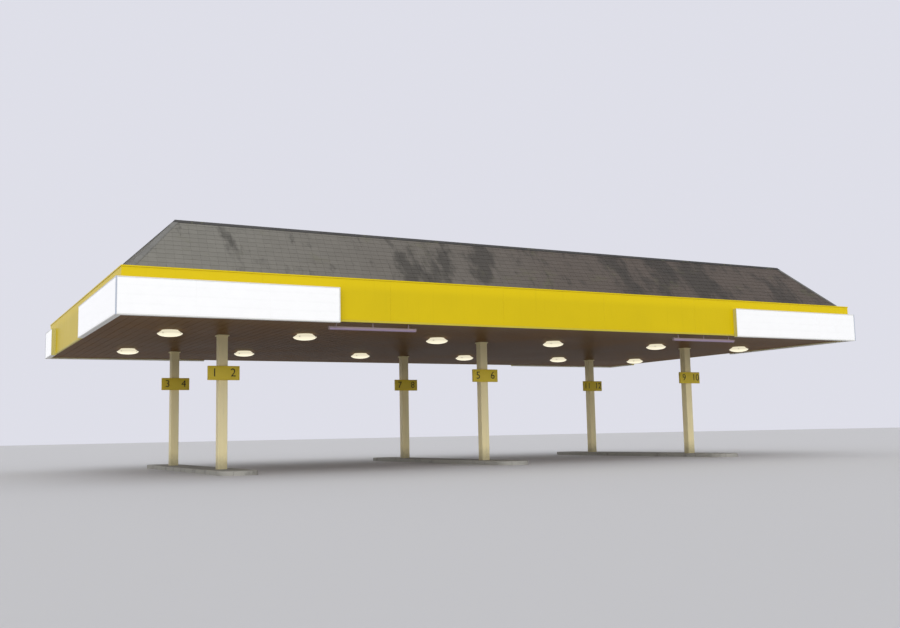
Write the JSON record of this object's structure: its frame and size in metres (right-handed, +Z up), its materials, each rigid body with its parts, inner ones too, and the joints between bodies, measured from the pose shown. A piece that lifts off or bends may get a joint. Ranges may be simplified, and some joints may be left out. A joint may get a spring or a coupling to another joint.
{
  "type": "filling station canopy",
  "caption": "Open filling station canopy on clad columns and kerbed islands, with a lined soffit, deep fascia, lit sign boxes and a slated mansard skirt.",
  "frame": {"origin": "middle of the plan at ground level, under the middle of the canopy's bounding box", "axes": "+X along the long front, +Y from the front to the back, +Z up"},
  "size_m": [28.5, 16.1, 7.6405],
  "materials": {
    "island_concrete": "matte",
    "kerb_stone": "matte",
    "column_cream": "satin",
    "column_steel": "matte",
    "flag_yellow": "satin",
    "frame_steel": "matte",
    "soffit_lining": "gloss",
    "deck_sheet": "matte",
    "fascia_yellow": "satin",
    "sign_opal": "gloss",
    "gutter_sheet": "matte",
    "eaves_timber": "matte",
    "roof_slate": "matte",
    "lining_sheet": "satin",
    "capping_dark": "matte",
    "lamp_opal": "gloss"
  },
  "bodies": {
    "root": {"island_left": "island_concrete", "island_centre": "island_concrete", "island_right": "island_concrete", "island_kerbs": "kerb_stone", "column_front_left": "column_cream", "column_front_centre": "column_cream", "column_front_right": "column_cream", "column_back_left": "column_cream", "column_back_centre": "column_cream", "column_back_right": "column_cream", "column_steels": "column_steel", "number_flags_front": "flag_yellow", "number_flags_back": "flag_yellow", "roof_beams": "frame_steel", "purlins": "frame_steel", "mansard_frames": "frame_steel", "soffit": "soffit_lining", "roof_deck": "deck_sheet", "fascia_front": "fascia_yellow", "fascia_back": "fascia_yellow", "fascia_left": "fascia_yellow", "fascia_right": "fascia_yellow", "sign_front_left": "sign_opal", "sign_front_right": "sign_opal", "sign_back_left": "sign_opal", "sign_back_right": "sign_opal", "sign_left_front": "sign_opal", "sign_left_back": "sign_opal", "sign_right_front": "sign_opal", "sign_right_back": "sign_opal", "gutters_long": "gutter_sheet", "gutters_short": "gutter_sheet", "eaves_plates": "eaves_timber", "slope_front": "roof_slate", "slope_back": "roof_slate", "slope_left": "roof_slate", "slope_right": "roof_slate", "linings_long": "lining_sheet", "linings_short": "lining_sheet", "ridge_cappings_long": "capping_dark", "ridge_cappings_short": "capping_dark", "hip_cappings": "capping_dark", "downlights_front": "lamp_opal", "downlights_back": "lamp_opal", "strip_lights": "lamp_opal"}
  },
  "joints": []
}
